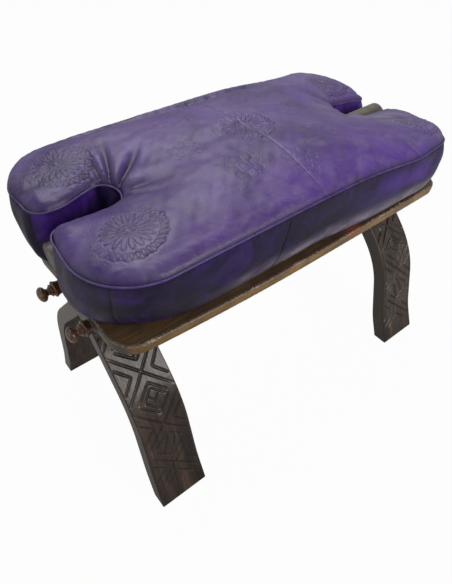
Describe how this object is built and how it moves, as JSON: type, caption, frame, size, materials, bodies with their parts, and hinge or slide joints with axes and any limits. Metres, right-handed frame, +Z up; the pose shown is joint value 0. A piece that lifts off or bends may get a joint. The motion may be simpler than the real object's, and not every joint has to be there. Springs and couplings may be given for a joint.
{
  "type": "camel saddle stool",
  "caption": "Camel saddle stool with a purple leather cushion on a ridge pole, side boards and S-curved carved legs.",
  "frame": {"origin": "floor level under the middle of the stool", "axes": "+X along the ridge pole, +Y across it, +Z up"},
  "size_m": [0.6226, 0.338, 0.4475],
  "materials": {
    "leg_wood": "satin",
    "rail_wood": "gloss",
    "board_wood": "satin",
    "pole_wood": "matte",
    "nail_iron": "matte",
    "top_leather": "gloss",
    "band_leather": "gloss",
    "piping_leather": "gloss",
    "stuffing": "matte"
  },
  "bodies": {
    "frame": {"leg_left_near": "leg_wood", "leg_left_far": "leg_wood", "leg_right_near": "leg_wood", "leg_right_far": "leg_wood", "neck_pegs_left": "pole_wood", "neck_pegs_right": "pole_wood", "ridge_pole": "pole_wood", "pole_pegs": "pole_wood", "side_rail_near": "rail_wood", "side_rail_far": "rail_wood", "rail_nails_near": "nail_iron", "rail_nails_far": "nail_iron", "side_board_near": "board_wood", "side_board_far": "board_wood", "board_nails_near": "nail_iron", "board_nails_far": "nail_iron"},
    "cushion": {"cushion_filling": "stuffing", "top_panel_left": "top_leather", "top_panel_right": "top_leather", "bottom_panel": "band_leather", "band_near_left": "band_leather", "band_near_right": "band_leather", "band_far_left": "band_leather", "band_far_right": "band_leather", "band_left_end": "band_leather", "band_right_end": "band_leather", "top_piping": "piping_leather", "bottom_piping": "piping_leather"}
  },
  "joints": [
    {"name": "cushion_lift", "type": "slide", "parent": "frame", "child": "cushion", "axis": [0, 0, 1], "range_m": [0, 0.15]}
  ]
}
